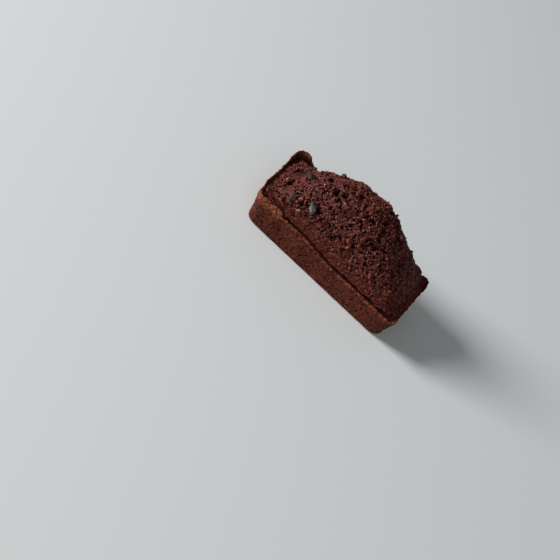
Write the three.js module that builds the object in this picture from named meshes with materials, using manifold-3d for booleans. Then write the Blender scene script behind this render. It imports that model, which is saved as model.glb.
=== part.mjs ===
// A small chocolate almond cake, baked in a rectangular mould. It is one piece: a tapered loaf with
// a tall dome, a thin torn lip of crust round its rim, and bits of cocoa bean baked into its top.
// Millimetres, +Z up, +X along the loaf. The origin is on the table, under the middle of its box.

import * as THREE from 'three';
import { mergeVertices } from 'three/addons/utils/BufferGeometryUtils.js';
import Module from 'manifold-3d';

// The loaf that the mould shaped.
const RIM_LENGTH = 99;
const RIM_WIDTH = 42;
const WALL_HEIGHT = 19.5;
const WALL_TAPER = 1.8;
const RIM_CORNER = 4.2;
const RIM_WAVE = { rise: 0.6, length: 80, top: 2 };
const FRONT_RIM = { height: 18.75, sag: 2.7, from: -16, to: 6 };
const RIGHT_END = { from: 35, to: 47, slopeFrom: -14, slopeTo: 19 };
const BASE_CORNER = 6.5;
const BASE_EDGE = 1.6;

// The dome that rose out of it.
const CROWN_RISE = 31.5;
const CROWN_SHIFT = { along: -0.11, across: 0.02 };
const DOME_ALONG = { bend: 2.05, fullness: 1.15 };
const DOME_ACROSS = { bend: 3, fullness: 0.8 };
const CRAG = { longest: 17, shrink: 0.84, waves: 9, slope: 0.031 };
const RELIEF_FADE = 0.12;

// The lip of crust that clung to the mould.
const LIP = { height: 0.45, flush: 0.15, thickness: 0.8, thicker: 0.55, thickFrom: 10, thickTo: 22, gap: 0.9 };
const LIP_PROFILE = [
  { inset: 0, rise: 0.6 },
  { inset: 0.3, rise: 1 },
  { inset: 0.6, rise: 0.95 },
  { inset: LIP.thickness, rise: 0.4 },
];
const RAGGED_WAVES = [
  { alongX: 1.9, alongY: 0.7, height: 0.16 },
  { alongX: 0.8, alongY: -2.3, height: 0.16 },
];
const RAGGED_LEAST = 0.4;
const FIN = { height: 2, flare: 0.8, flareFrom: -17, flareTo: -9 };
const TORN_LEDGE = { height: 2.4, from: -30.9, run: 1.2 };
const EAR = { height: 9, tip: -45.5, reach: 13.8, from: 5.6, to: 10.4, flare: 0.2 };
const SPIKE = { x: 47.2, y: 20.5, height: 2.7, reach: 7 };
const WALL_WAVE = { depth: 0.2, length: 19 };

// How high the crust starts beside the lip: lower along the front, higher behind the fin and the ear.
const CRUST_START = { flush: 0.1, front: -0.6, fin: 1.3, ear: 0.45 };
const FRONT_REACH = 6;
const LEFT_REACH = 9;

// Swellings and dents in the crust: place, radius and height.
const BUMPS = [
  { x: 11, y: 8, radius: 13, height: 1.9 },
  { x: 33, y: 10, radius: 10, height: 2 },
  { x: -40.4, y: -5.6, radius: 2.4, height: -1.6 },
  { x: -45.5, y: -17, radius: 2.4, height: -0.9 },
  { x: -12, y: 12.5, radius: 3, height: -1.2 },
  { x: 21, y: 8, radius: 3.4, height: -1.1 },
  { x: 44, y: 15, radius: 6.5, height: 3.6 },
];

// Bits of cocoa bean that stand out on the shown side: place, turn in degrees, and size.
const SHOWN_BITS = [
  { x: -22.2, y: -15.2, turn: 128, length: 7.8, width: 4.2, height: 3.6 },
  { x: -34.5, y: -0.6, turn: 125, length: 8.4, width: 4.2, height: 3 },
  { x: -33.8, y: -14.9, turn: 95, length: 5, width: 4.2, height: 2.6 },
  { x: -42.7, y: -2.4, turn: 88, length: 5, width: 2.2, height: 2.4 },
  { x: 0.7, y: -16.5, turn: 120, length: 3.2, width: 2, height: 2 },
  { x: 2.8, y: -16.3, turn: 105, length: 3.4, width: 2, height: 2 },
  { x: 4.6, y: -16.9, turn: 70, length: 2.6, width: 1.6, height: 1.8 },
  { x: 8.3, y: -15.4, turn: 120, length: 2.8, width: 2, height: 1.8 },
  { x: 22.9, y: -16.8, turn: 125, length: 5.2, width: 2.1, height: 1.5 },
  { x: -22, y: 8.6, turn: 10, length: 3.2, width: 2.4, height: 2.8 },
  { x: 11.8, y: 8.8, turn: 130, length: 3, width: 2.2, height: 2.4 },
  { x: 29.7, y: 8.9, turn: 45, length: 3, width: 2.4, height: 2.4 },
  { x: -27, y: -15.1, turn: 110, length: 3, width: 1.4, height: 1.6 },
  { x: -30, y: -14.8, turn: 40, length: 3.6, width: 1.8, height: 1.6 },
  { x: -27, y: -17.1, turn: 50, length: 3.4, width: 2, height: 1.6 },
];

// Smaller bits, spread evenly over the rest of the top by a rule.
const SPREAD_BITS = { tries: 44, along: 0.84, across: 0.8, apart: 6, smallest: 1.8, largest: 3.4 };
const SPREAD_SHAPE = { width: 0.7, height: 0.65 };
const SPREAD_RATIOS = { along: 0.7548776662, across: 0.569840291, length: 0.6180339887, turn: 0.3819660113 };
const BIT_CORNERS = { least: 0.85, most: 1.2 };
const BIT_SUNK = 0.3;

// How finely the surface is divided. The points of a ring are an even number, so that the two sides
// of the last ring meet in pairs along the ridge.
const STEPS = { ring: 136, baseEdge: 3, wall: 6, crust: 15 };
const CRUST_CROWDING = 1.35;

const INNER = LIP.thickness + LIP.gap;
const HALF_LENGTH = RIM_LENGTH / 2;
const HALF_WIDTH = RIM_WIDTH / 2;
const GOLDEN_ANGLE = Math.PI * (3 - Math.sqrt(5));
const UP = new THREE.Vector3(0, 0, 1);
const { clamp, lerp, smoothstep, degToRad, seededRandom } = THREE.MathUtils;

// Evenly spaced points round a rounded rectangle, anticlockwise from the middle of its right end.
function outline(halfLength, halfWidth, corner) {
  const a = halfLength - corner;
  const b = halfWidth - corner;
  const path = new THREE.Path().moveTo(halfLength, 0).lineTo(halfLength, b);
  path.absarc(a, b, corner, 0, Math.PI / 2).lineTo(-a, halfWidth);
  path.absarc(-a, b, corner, Math.PI / 2, Math.PI).lineTo(-halfLength, -b);
  path.absarc(-a, -b, corner, Math.PI, Math.PI * 1.5).lineTo(a, -halfWidth);
  path.absarc(a, -b, corner, Math.PI * 1.5, Math.PI * 2).lineTo(halfLength, 0);
  return path.getSpacedPoints(STEPS.ring).slice(0, STEPS.ring);
}

// Low waves in every direction, which make the crust uneven.
function crags(x, y) {
  let sum = 0;
  for (let i = 0; i < CRAG.waves; i++) {
    const wavelength = CRAG.longest * CRAG.shrink ** i;
    const turn = i * GOLDEN_ANGLE;
    const along = x * Math.cos(turn) + y * Math.sin(turn);
    sum += CRAG.slope * wavelength * Math.sin((2 * Math.PI * along) / wavelength + turn * i);
  }
  return sum;
}

// Distance from the crown, 0 at the crown and 1 at either rim, with the crown off the middle.
function fromCrown(offset, shift) {
  return Math.min(1, Math.abs(offset - shift) / (offset > shift ? 1 - shift : 1 + shift));
}

// 1 along the front, where the crust stands off the lip, and 0 away from it.
function frontShare(y) {
  return smoothstep(-y, HALF_WIDTH - FRONT_REACH, HALF_WIDTH - INNER);
}

// 1 along the left end, and 0 away from it.
function leftShare(x) {
  return smoothstep(-x, HALF_LENGTH - LEFT_REACH, HALF_LENGTH - INNER);
}

// The rim isn't level: it waves along the rear, and along the front it sags towards the right.
function rimHeight(x, y) {
  const rear = WALL_HEIGHT + RIM_WAVE.rise * Math.cos((2 * Math.PI * (x - RIM_WAVE.top)) / RIM_WAVE.length);
  const front = FRONT_RIM.height - FRONT_RIM.sag * smoothstep(x, FRONT_RIM.from, FRONT_RIM.to);
  const slope = smoothstep(-y, RIGHT_END.slopeFrom, RIGHT_END.slopeTo);
  return lerp(rear, front, lerp(frontShare(y), slope, smoothstep(x, RIGHT_END.from, RIGHT_END.to)));
}

// The fin is a low edge of crust along the left end.
function finHeight(x) {
  return FIN.height * smoothstep(-x, HALF_LENGTH - RIM_CORNER, HALF_LENGTH - LIP.thickness);
}

// The ear is a tall flap of crust round the left rear corner.
function earHeight(x, y) {
  return EAR.height * (1 - smoothstep(x, EAR.tip, EAR.tip + EAR.reach)) * smoothstep(y, EAR.from, EAR.to);
}

// The height of the crust above the base at a place inside the lip.
function crustHeight(x, y) {
  const u = fromCrown(x / (HALF_LENGTH - INNER), CROWN_SHIFT.along);
  const v = fromCrown(y / (HALF_WIDTH - INNER), CROWN_SHIFT.across);
  const start = lerp(CRUST_START.flush, CRUST_START.front, frontShare(y));
  const fill = CRUST_START.fin * leftShare(x) + CRUST_START.ear * earHeight(x, y);
  const along = (1 - u ** DOME_ALONG.bend) ** DOME_ALONG.fullness;
  const across = (1 - v ** DOME_ACROSS.bend) ** DOME_ACROSS.fullness;
  const clearOfRim = smoothstep(Math.min(1 - u, 1 - v), 0, RELIEF_FADE);
  let relief = crags(x, y);
  for (const bump of BUMPS) {
    const reach = Math.hypot(x - bump.x, y - bump.y) / bump.radius;
    relief += bump.height * Math.exp(-reach * reach);
  }
  return rimHeight(x, y) + start + fill + CROWN_RISE * along * across + relief * clearOfRim;
}

// The way the crust faces, from its height a little to either side.
function crustNormal(x, y) {
  const step = 0.5;
  const riseX = crustHeight(x + step, y) - crustHeight(x - step, y);
  const riseY = crustHeight(x, y + step) - crustHeight(x, y - step);
  return new THREE.Vector3(-riseX, -riseY, 2 * step).normalize();
}

// How far the lip stands above the rim: low along the front and flush elsewhere, with a fin at the left
// end, an ear, a torn ledge along the left of the front, and a slight point at the right rear corner.
function lipHeight(x, y) {
  const atFront = smoothstep(-y, HALF_WIDTH - RIM_CORNER, HALF_WIDTH - LIP.thickness);
  const leftOfTear = smoothstep(-x, -TORN_LEDGE.from, TORN_LEDGE.run - TORN_LEDGE.from);
  const ledge = TORN_LEDGE.height * atFront * leftOfTear;
  const away = Math.hypot(x - SPIKE.x, y - SPIKE.y) / SPIKE.reach;
  const spike = SPIKE.height * Math.exp(-away * away);
  const ragged = RAGGED_WAVES.reduce((sum, wave) => {
    return sum + wave.height * Math.sin(wave.alongX * x + wave.alongY * y);
  }, 0);
  const front = frontShare(y);
  const low = lerp(LIP.flush, LIP.height, front) + ragged * lerp(RAGGED_LEAST, 1, front);
  return low + Math.max(finHeight(x), ledge, earHeight(x, y)) + spike;
}

// A point of the rim's outline moved straight in from it.
function insetPoint(point, inset) {
  const a = HALF_LENGTH - RIM_CORNER;
  const b = HALF_WIDTH - RIM_CORNER;
  const core = new THREE.Vector2(clamp(point.x, -a, a), clamp(point.y, -b, b));
  return point.clone().addScaledVector(core.sub(point).normalize(), inset);
}

// A list of plan points as a ring in space, with a rule for its height.
function ringAt(points, height) {
  return points.map((p, i) => new THREE.Vector3(p.x, p.y, height(p, i)));
}

// The rounded bottom edge and the tapered wall, which waves a little between base and rim.
function wallRings() {
  const rings = [];
  for (let i = 0; i < STEPS.baseEdge; i++) {
    const angle = (Math.PI / 2) * (i / STEPS.baseEdge);
    const inset = BASE_EDGE * (1 - Math.sin(angle));
    const halfLength = HALF_LENGTH - WALL_TAPER - inset;
    const halfWidth = HALF_WIDTH - WALL_TAPER - inset;
    const points = outline(halfLength, halfWidth, BASE_CORNER - inset);
    rings.push(ringAt(points, () => BASE_EDGE * (1 - Math.cos(angle))));
  }
  for (let i = 0; i <= STEPS.wall; i++) {
    const t = i / STEPS.wall;
    const inset = WALL_TAPER * (1 - t);
    const corner = lerp(BASE_CORNER, RIM_CORNER, t);
    const points = outline(HALF_LENGTH - inset, HALF_WIDTH - inset, corner);
    const swell = WALL_WAVE.depth * Math.sin(Math.PI * t);
    points.forEach((p) => {
      const wave = Math.sin((2 * Math.PI * (p.x + p.y)) / WALL_WAVE.length + 2 * t);
      p.addScaledVector(new THREE.Vector2(p.x / HALF_LENGTH, p.y / HALF_WIDTH), swell * wave);
    });
    rings.push(ringAt(points, (p) => lerp(BASE_EDGE, rimHeight(p.x, p.y), t)));
  }
  return rings;
}

// The lip goes up its outer face, over its edge and down its inner face.
function lipRings() {
  const rim = outline(HALF_LENGTH, HALF_WIDTH, RIM_CORNER);
  const heights = rim.map((p) => lipHeight(p.x, p.y));
  return LIP_PROFILE.map(({ inset, rise }) => {
    const points = rim.map((p) => {
      const ear = earHeight(p.x, p.y);
      const thickRight = frontShare(p.y) * smoothstep(p.x, LIP.thickFrom, LIP.thickTo);
      const thicker = 1 + LIP.thicker * Math.max(leftShare(p.x), thickRight, ear / EAR.height);
      const fin = finHeight(p.x) * smoothstep(p.y, FIN.flareFrom, FIN.flareTo);
      const lean = Math.max(EAR.flare * ear, FIN.flare * fin);
      return insetPoint(p, inset * thicker - lean * rise);
    });
    return ringAt(points, (p, i) => rimHeight(rim[i].x, rim[i].y) + heights[i] * rise);
  });
}

// The crust starts behind the lip and rises, in rounder and rounder rings, to the ridge.
function crustRings() {
  const rings = [];
  for (let i = 0; i <= STEPS.crust; i++) {
    const t = (i / STEPS.crust) ** CRUST_CROWDING;
    const inset = lerp(INNER, HALF_WIDTH, t);
    const halfWidth = HALF_WIDTH - inset;
    const corner = lerp(RIM_CORNER - INNER, halfWidth, Math.min(1, 2 * t));
    const points = outline(HALF_LENGTH - inset, halfWidth, Math.min(corner, halfWidth));
    rings.push(ringAt(points, (p) => crustHeight(p.x, p.y)));
  }
  return rings;
}

// One closed surface through the rings, with a flat cap on the base and the last ring zipped shut.
function loft(rings) {
  const last = rings.length - 1;
  const at = (r, i) => r * STEPS.ring + (r === last ? Math.min(i, STEPS.ring - i) : i);
  const index = [];
  for (let r = 0; r < last; r++) {
    for (let i = 0; i < STEPS.ring; i++) {
      const next = (i + 1) % STEPS.ring;
      index.push(at(r, i), at(r, next), at(r + 1, next), at(r, i), at(r + 1, next), at(r + 1, i));
    }
  }
  THREE.ShapeUtils.triangulateShape(rings[0], []).forEach(([a, b, c]) => index.push(a, c, b));
  const geometry = new THREE.BufferGeometry().setFromPoints(rings.flat());
  geometry.setIndex(index);
  return geometry;
}

// One angular bit of cocoa bean, pressed into the crust.
function cocoaBit({ x, y, turn, length, width, height }, seed) {
  const geometry = new THREE.IcosahedronGeometry(0.5, 0);
  geometry.deleteAttribute('normal');
  geometry.deleteAttribute('uv');
  const bit = mergeVertices(geometry);
  const position = bit.getAttribute('position');
  seededRandom(seed);
  for (let i = 0; i < position.count; i++) {
    const size = lerp(BIT_CORNERS.least, BIT_CORNERS.most, seededRandom());
    position.setXYZ(i, position.getX(i) * size, position.getY(i) * size, position.getZ(i) * size);
  }
  const normal = crustNormal(x, y);
  const place = new THREE.Vector3(x, y, crustHeight(x, y)).addScaledVector(normal, height * (0.5 - BIT_SUNK));
  const lie = new THREE.Quaternion().setFromUnitVectors(UP, normal);
  const spin = new THREE.Quaternion().setFromAxisAngle(UP, degToRad(turn));
  const size = new THREE.Vector3(length, width, height);
  return bit.applyMatrix4(new THREE.Matrix4().compose(place, lie.multiply(spin), size));
}

// The bits that the rule adds: an even spread of places, without those too near a bit that shows.
function spreadBits() {
  const bits = [];
  for (let i = 1; i <= SPREAD_BITS.tries; i++) {
    const part = (ratio) => (i * ratio) % 1;
    const x = (2 * part(SPREAD_RATIOS.along) - 1) * SPREAD_BITS.along * HALF_LENGTH;
    const y = (2 * part(SPREAD_RATIOS.across) - 1) * SPREAD_BITS.across * HALF_WIDTH;
    const turn = 360 * part(SPREAD_RATIOS.turn);
    const length = lerp(SPREAD_BITS.smallest, SPREAD_BITS.largest, part(SPREAD_RATIOS.length));
    const crowded = SHOWN_BITS.some((bit) => Math.hypot(bit.x - x, bit.y - y) < SPREAD_BITS.apart);
    if (!crowded) {
      const { width, height } = SPREAD_SHAPE;
      bits.push({ x, y, turn, length, width: length * width, height: length * height });
    }
  }
  return bits;
}

const wasm = await Module();
wasm.setup();

function toSolid(geometry) {
  const vertProperties = Float32Array.from(geometry.getAttribute('position').array);
  const triVerts = Uint32Array.from(geometry.getIndex().array);
  return new wasm.Manifold(new wasm.Mesh({ numProp: 3, vertProperties, triVerts }));
}

function toGeometry(solid) {
  const { vertProperties, triVerts } = solid.getMesh();
  const geometry = new THREE.BufferGeometry();
  geometry.setAttribute('position', new THREE.BufferAttribute(Float32Array.from(vertProperties), 3));
  geometry.setIndex(new THREE.BufferAttribute(Uint32Array.from(triVerts), 1));
  return geometry;
}

function cakeGeometry() {
  let solid = toSolid(loft([...wallRings(), ...lipRings(), ...crustRings()]));
  [...SHOWN_BITS, ...spreadBits()].forEach((bit, i) => {
    solid = solid.add(toSolid(cocoaBit(bit, i + 1)));
  });
  const geometry = toGeometry(solid);
  geometry.computeBoundingBox();
  const { min, max } = geometry.boundingBox;
  geometry.translate(-(min.x + max.x) / 2, -(min.y + max.y) / 2, -min.z);
  geometry.computeVertexNormals();
  return geometry;
}

const crumb = new THREE.MeshStandardMaterial({ color: 0x4a2620, roughness: 0.72, metalness: 0 });
const cake = new THREE.Mesh(cakeGeometry(), crumb);
cake.name = 'cake';

const group = new THREE.Group();
group.add(cake);

export default group;
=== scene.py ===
"""The looks of a small chocolate almond cake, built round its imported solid.

Four meshes on the same form stand for the solid: the porous wall with its torn lip, the pitted crust of
the dome, the coarse grains that stand out of that crust, and the bits of cocoa bean pressed into it. The
form's functions work in millimetres, as the part's source does, and the meshes are made in metres.
"""

import math
from typing import NamedTuple

import bmesh
import bpy
import numpy as np
from bpy.props import FloatProperty, FloatVectorProperty, IntProperty, PointerProperty
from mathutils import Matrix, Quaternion, Vector, noise


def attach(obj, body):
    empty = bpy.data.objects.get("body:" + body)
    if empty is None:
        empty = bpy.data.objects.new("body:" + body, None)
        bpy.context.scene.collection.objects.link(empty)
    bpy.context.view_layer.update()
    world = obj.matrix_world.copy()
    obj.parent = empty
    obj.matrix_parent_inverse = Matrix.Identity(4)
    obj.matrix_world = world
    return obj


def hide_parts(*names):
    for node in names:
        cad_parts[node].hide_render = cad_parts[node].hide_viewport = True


bl_info = {
    "name": "Financier Cake",
    "version": (1, 0, 0),
    "blender": (4, 5, 0),
    "location": "View3D > Sidebar > Cake",
    "description": "Builds a small chocolate almond cake with its crumb, crust and cocoa bean bits",
    "category": "Add Mesh",
}

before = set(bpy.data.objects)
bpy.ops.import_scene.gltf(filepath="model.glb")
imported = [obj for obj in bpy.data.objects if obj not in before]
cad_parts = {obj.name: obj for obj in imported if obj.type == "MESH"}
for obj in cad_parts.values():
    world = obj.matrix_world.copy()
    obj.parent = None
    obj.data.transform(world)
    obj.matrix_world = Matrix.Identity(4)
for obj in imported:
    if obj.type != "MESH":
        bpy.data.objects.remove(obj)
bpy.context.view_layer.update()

MM = 0.001
TINY = 1e-12

# From the form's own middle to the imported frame, whose origin is under the middle of the box.
SHIFT_TO_FRAME = np.array((0.667, -0.654, 0.0))


class Pits(NamedTuple):
    """Round pits, one in a cell. The radius is in cell widths and grows with the cell's draw."""

    cell: float
    warp: float
    seed: float
    bare_share: float
    radius: float
    growth: float


# The loaf that the mould shaped, as in the part's source.
WALL_TAPER = 1.8
BASE_CORNER = 6.5
BASE_EDGE = 1.6
RIM_CORNER = 4.2
RIM_WAVE_RISE = 0.6
RIM_WAVE_LENGTH = 80.0
RIM_WAVE_TOP = 2.0
FRONT_RIM = 18.75
FRONT_SAG = 2.7
SAG_FROM = -16.0
SAG_TO = 6.0
RIGHT_END_FROM = 35.0
RIGHT_END_TO = 47.0
SLOPE_FROM = -14.0
SLOPE_TO = 19.0
WALL_WAVE_DEPTH = 0.2
WALL_WAVE_LENGTH = 19.0
WALL_WAVE_LEAN = 2.0

# The dome that rose out of it.
CROWN_ALONG = -0.11
CROWN_ACROSS = 0.02
ALONG_BEND = 2.05
ALONG_FULLNESS = 1.15
ACROSS_BEND = 3.0
ACROSS_FULLNESS = 0.8
CRAG_LONGEST = 17.0
CRAG_SHRINK = 0.84
CRAG_WAVES = 9
CRAG_SLOPE = 0.031
RELIEF_FADE = 0.12
GOLDEN_ANGLE = math.pi * (3 - math.sqrt(5))

# Swellings and dents in the crust: place along and across, radius and height.
BUMPS = (
    (11.0, 8.0, 13.0, 1.9),
    (33.0, 10.0, 10.0, 2.0),
    (-40.4, -5.6, 2.4, -1.6),
    (-45.5, -17.0, 2.4, -0.9),
    (-12.0, 12.5, 3.0, -1.2),
    (21.0, 8.0, 3.4, -1.1),
    (44.0, 15.0, 6.5, 3.6),
)

# The lip of crust that clung to the mould: its profile is inset and share of its height.
LIP_THICKNESS = 0.8
THICKER_LIP = 0.55
THICK_FROM = 10.0
THICK_TO = 22.0
LIP_GAP = 0.9
LIP_PROFILE = ((0.0, 0.0), (0.0, 0.6), (0.12, 0.88), (0.3, 1.0), (0.6, 0.95), (0.8, 0.4))
FLUSH_LIP = 0.15
FRONT_REACH = 6.0
LEFT_REACH = 9.0
LEFT_GROOVE = 0.5
CRUST_START = 0.1
FRONT_DROP = 0.6
FIN_FILL = 1.3
EAR_FILL = 0.45
FIN_HEIGHT = 2.0
FIN_FLARE = 0.8
FIN_FLARE_FROM = -17.0
FIN_FLARE_TO = -9.0
LEDGE_HEIGHT = 2.4
LEDGE_FROM = -30.9
LEDGE_RUN = 1.2
EAR_FLARE = 0.2
EAR_TIP = -45.5
EAR_REACH = 13.8
EAR_FROM = 5.6
EAR_TO = 10.4
SPIKE_PLACE = (47.2, 20.5)
SPIKE_HEIGHT = 2.7
SPIKE_REACH = 7.0
CRUST_ROOT = 1.5

# How ragged the lip's edge is: waves along, across and high, then tears of a size and depth.
RAGGED_WAVES = ((1.9, 0.7, 0.16), (0.8, -2.3, 0.16))
REAR_RAGGED = 0.4
TEAR_SIZES = ((2.6, 0.7), (0.9, 0.45))
TEAR_SEED = 5.1
FIN_TEAR = 0.8
EAR_TEAR = 0.04

# How finely the wall and the crust are divided before they are thinned out.
RING_POINTS = 900
EDGE_RINGS = 10
WALL_RINGS = 62
LIP_RINGS = 10
LIP_EDGE = 4
CRUST_RINGS = 140
DENSE_CRUST_RINGS = 320
RING_CROWDING = 2
ROUNDING_RATE = 2.0
CORNER_STEPS = 40

# The scattered cells that pits and lumps are made from.
WARP_SEED = 5
WARP_SCALE = 0.8
DRAW_SCALE = 7.3
PIT_SLOPE = 0.38
LEAST_RADIUS = 1e-3

# Soft noises: the size of their features, and their seed.
UNEVEN = (5.0, 3.7)
ROLLING = (2.4, 9.0)
HOLLOWS = (2.6, 21.0)
GAPE_WAVES = (5.5, 31.0)
WALL_LUMPS = (2.1, 9.0)
TORN_PATCHES = (2.4, 14.0)
LEDGE_PATCHES = (3.1, 17.0)
GRAIN_CLUMPS = (2.4, 41.0)

# Pores and lumps of the wall, as shares of the pore depth, the shade painted in the pores, and the heights
# between which they set in.
WALL_PORES = Pits(cell=1.0, warp=0.5, seed=5.7, bare_share=0.15, radius=0.4, growth=0.22)
WIDE_PORES = Pits(cell=2.2, warp=0.6, seed=11.3, bare_share=0.75, radius=0.4, growth=0.0)
SMALL_PORE = 0.8
PORE_SINK = 0.8
PORE_SHADE = 0.7
WALL_UNEVEN = 0.4
WALL_LUMP = 0.25
LIP_LUMP = 0.8
LIP_LUMPS_SET_IN = (-3.5, -0.5)
PORES_SET_IN = (0.0, 1.2)

# Painted shade on the inside of the lip, and torn crumb on its edge, the fin, the ledge and the ear. On the
# edges of the fin and the ear that crumb colour is also a painted highlight.
INSIDE_SHADE = 0.95
LEFT_SHADE = 0.65
EAR_SHADE = 0.8
EAR_SHADE_SETS_IN = (1.0, 2.5)
TORN_LIP = 0.55
TORN_LIP_PATCHY = 0.9
TORN_LIP_SETS_IN = (-1.6, 0.4)
TORN_LEDGE = 0.95
TORN_LEDGE_PATCHY = 0.5
TORN_LEDGE_SETS_IN = (-4.5, 0.5)
TORN_AND_LIT_FIN = 0.8

# Pits and lumps of the crust, as shares of the grain depth, and the shade painted in them. They are bolder
# high on the dome.
CRUST_PITS = Pits(cell=1.1, warp=0.55, seed=0.0, bare_share=0.08, radius=0.47, growth=0.26)
WIDE_PITS = Pits(cell=2.5, warp=0.6, seed=27.1, bare_share=0.5, radius=0.3, growth=0.3)
PIT_SINK = 0.8
PIT_SHADE = 0.95
LUMP_SIZE = 0.75
LUMP_WARP = 0.4
LUMP_SEED = 11.3
LUMP_RUN = 0.5
LUMP_GAP = (0.02, 0.2)
LUMP_SHARE = 0.4
LEAST_LUMP = 0.3
GAP_SHADE = 0.4
ROLLING_SHARE = 0.45
UNEVEN_SHARE = 0.35
HOLLOW_BAND = (0.38, 0.62)
BOLD_BAND = (0.06, 0.3)
BOLD_LESS = 0.5
BOLD_LESS_SETS_IN = (14.0, 38.0)
SLOPE_RELIEF = 0.45
BOLD_RELIEF = 0.55
SLOPE_SHADE = 0.4
RELIEF_SETS_IN = (-0.4, 0.8)

# The crack between the crust and the lip along the front: how wide it gapes, and where it shuts.
GAPE = 0.5
RIGHT_GAPE = 0.25
RIGHT_GAPE_SETS_IN = (5.0, 30.0)
GAPE_UNEVEN = 1.1
GAPE_RANGE = (0.08, 1.1)
SHUTS_FROM = 0.1
SHUTS_FROM_GAPE = 0.6
SHUTS_TO = 0.6
CRACK_SETS_IN = (-1.2, -0.2)
CRACK_DEPTH = 0.9
CRACK_SMOOTH = 0.7
CRACK_SHADE = 0.95

# Deep holes in the crust that show: place, radius and depth. Shade is painted in them, and the three just
# right of the grey slate-like bit, the grey bit and the dark bit stand in for the shadows that those bits
# cast.
HOLES = (
    (-41.0, -8.6, 1.5, 1.9),
    (-40.9, -6.4, 1.4, 1.6),
    (-40.8, -4.2, 1.6, 2.0),
    (-40.5, -2.0, 1.6, 2.2),
    (-32.0, -0.2, 1.2, 1.2),
    (-31.3, -15.0, 1.5, 2.0),
    (-27.6, -16.0, 1.4, 1.8),
    (-19.4, -15.3, 1.8, 1.6),
    (-25.9, 0.5, 1.7, 1.8),
    (-18.7, -6.9, 2.0, 2.0),
    (6.6, -16.2, 1.5, 1.3),
)
HOLE_EDGE = (0.3, 1.0)
HOLE_UNEVEN = 0.5

# Coarse grains: how likely one is at a place, then half its size, its stretch each way and its depth.
GRAIN_SEED = 7
GRAIN_TRIES = 5
GRAIN_APART = 0.9
SLOPE_CHANCE = 0.25
FULL_CHANCE_BAND = (3.0, 10.0)
GRAINS_SET_IN = (0.2, 1.2)
BARE_CHANCE = 0.1
CLUMP_BAND = (-0.35, 0.3)
GRAIN_HALF = 0.40
GRAIN_SPREAD = 0.28
GRAIN_HALF_RANGE = (0.22, 0.75)
GRAIN_STRETCH = ((0.9, 1.5), (0.7, 1.1), (0.6, 1.0))
GRAIN_JITTER = (0.75, 1.2)
GRAIN_SUNK = 0.3
GRAIN_TONE_BEND = 1.3

# Shades of the cocoa bits, as linear light.
# The grey of this bit is a painted reflection of the light on a dark glossy bit.
PAINTED_REFLECTION_GREY = (0.200, 0.194, 0.212)
DARK_BEAN = (0.034, 0.018, 0.013)
GREY_BEAN = (0.066, 0.040, 0.034)
RED_BEAN = (0.200, 0.046, 0.026)
ORANGE_BEAN = (0.200, 0.054, 0.024)
PALE_BEAN = (0.330, 0.110, 0.080)
# This flake's colour is partly its own pale colour and partly a painted highlight.
PALE_FLAKE_AND_HIGHLIGHT = (0.450, 0.180, 0.125)
COATED = (0.100, 0.026, 0.019)

# Bits that stand out on the shown side: place, turn in degrees, length, width, height and shade.
SHOWN_BITS = (
    (-22.2, -15.2, 128.0, 7.8, 4.2, 3.6, PAINTED_REFLECTION_GREY),
    (-34.5, -0.6, 125.0, 8.4, 4.2, 3.0, DARK_BEAN),
    (-33.8, -14.9, 95.0, 5.0, 4.2, 2.6, GREY_BEAN),
    (-42.7, -2.4, 88.0, 5.0, 2.2, 2.4, PALE_FLAKE_AND_HIGHLIGHT),
    (0.7, -16.5, 120.0, 3.2, 2.0, 2.0, RED_BEAN),
    (2.8, -16.3, 105.0, 3.4, 2.0, 2.0, RED_BEAN),
    (4.6, -16.9, 70.0, 2.6, 1.6, 1.8, RED_BEAN),
    (8.3, -15.4, 120.0, 2.8, 2.0, 1.8, ORANGE_BEAN),
    (22.9, -16.8, 125.0, 5.2, 2.1, 1.5, ORANGE_BEAN),
    (-22.0, 8.6, 10.0, 3.2, 2.4, 2.8, COATED),
    (11.8, 8.8, 130.0, 3.0, 2.2, 2.4, COATED),
    (29.7, 8.9, 45.0, 3.0, 2.4, 2.4, COATED),
    (-27.0, -15.1, 110.0, 3.0, 1.4, 1.6, ORANGE_BEAN),
    (-30.0, -14.8, 40.0, 3.6, 1.8, 1.6, PALE_BEAN),
    (-27.0, -17.1, 50.0, 3.4, 2.0, 1.6, PALE_BEAN),
)

# Smaller bits, spread evenly over the rest of the top by a rule.
SPREAD_TRIES = 44
SPREAD_ALONG = 0.84
SPREAD_ACROSS = 0.8
SPREAD_APART = 6.0
SPREAD_SMALLEST = 1.8
SPREAD_LARGEST = 3.4
SPREAD_WIDTH = 0.7
SPREAD_HEIGHT = 0.65
SPREAD_RATIO_ALONG = 0.7548776662
SPREAD_RATIO_ACROSS = 0.569840291
SPREAD_RATIO_LENGTH = 0.6180339887
SPREAD_RATIO_TURN = 0.3819660113

# A broken bit: layers of corners with their height, least and most reach, and share of the width.
BIT_SEED = 11
BIT_LAYERS = ((-1.0, 0.7, 0.9, 1.0), (0.0, 0.9, 1.1, 1.0), (0.9, 0.4, 0.8, 0.35))
BIT_CORNERS_FROM = 4
BIT_CORNERS_BELOW = 7
BIT_TURN = 0.3
BIT_UNEVEN = 0.25
BIT_SHADES = (0.8, 1.2)
BIT_SUNK = 0.3
WORN_EDGE = 0.09
WORN_STEPS = 2
WORN_PROFILE = 0.6
WELD_DISTANCE = 1e-4
LIE_STEP = 0.5

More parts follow.
